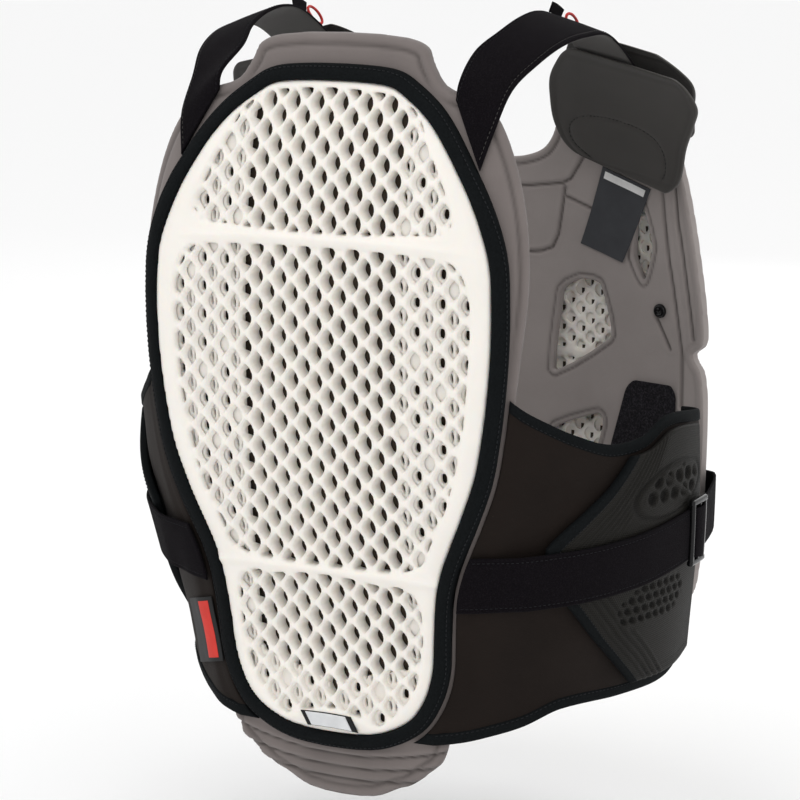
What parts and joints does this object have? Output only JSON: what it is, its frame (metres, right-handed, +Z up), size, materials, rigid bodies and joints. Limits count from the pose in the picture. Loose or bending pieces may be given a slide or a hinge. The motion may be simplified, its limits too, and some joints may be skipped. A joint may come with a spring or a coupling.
{
  "type": "chest protector",
  "caption": "Worn chest and back protector: pierced white back shell on a foam back, shoulder straps with pads, foam chest panel and side wings closed by a waist belt.",
  "frame": {"origin": "midway between the shoulder straps, at the height where they rest on the shoulders", "axes": "+Z up along the wearer's spine, -Y the way the wearer faces, +X to the wearer's left"},
  "size_m": [0.451, 0.3332, 0.5801],
  "materials": {
    "plate": "warm white moulded shell, satin, smooth rounded struts",
    "foam": "warm grey closed-cell foam, matt, fine grain",
    "binding": "blue-black ribbed binding tape, matt",
    "webbing": "purple-black brushed elastic webbing, matt",
    "wing": "brown-black stretch cloth, matt",
    "side_pad": "dark charcoal moulded pad with woven grain",
    "pad": "dark charcoal smooth neoprene, soft sheen",
    "buckle": "black moulded plastic, glossy",
    "cord": "red braided cord",
    "badge": "silver plate in a black frame, bare",
    "label": "dark satin label tape, bare"
  },
  "bodies": {
    "root": {"back_plate": "plate", "back_binding": "binding", "back_badge": "badge", "back_foam": "foam", "chest_foam": "foam", "chest_plate": "plate", "care_label": "label", "side_label": "label", "shoulder_strap_left": "webbing", "pull_tab_left": "webbing", "pull_loop_left": "cord", "chest_snap_left": "buckle", "shoulder_flap_left": "pad", "shoulder_cover_left": "pad", "wing_left": "wing", "wing_top_edge_left": "binding", "wing_hem_left": "binding", "side_pad_left": "side_pad", "belt_left": "webbing", "buckle_left": "buckle", "chest_strap_left": "webbing", "hook_patch_left": "webbing", "shoulder_strap_right": "webbing", "pull_tab_right": "webbing", "pull_loop_right": "cord", "chest_snap_right": "buckle", "shoulder_flap_right": "pad", "shoulder_cover_right": "pad", "wing_right": "wing", "wing_top_edge_right": "binding", "wing_hem_right": "binding", "side_pad_right": "side_pad", "belt_right": "webbing", "buckle_right": "buckle", "chest_strap_right": "webbing", "hook_patch_right": "webbing"}
  },
  "joints": []
}
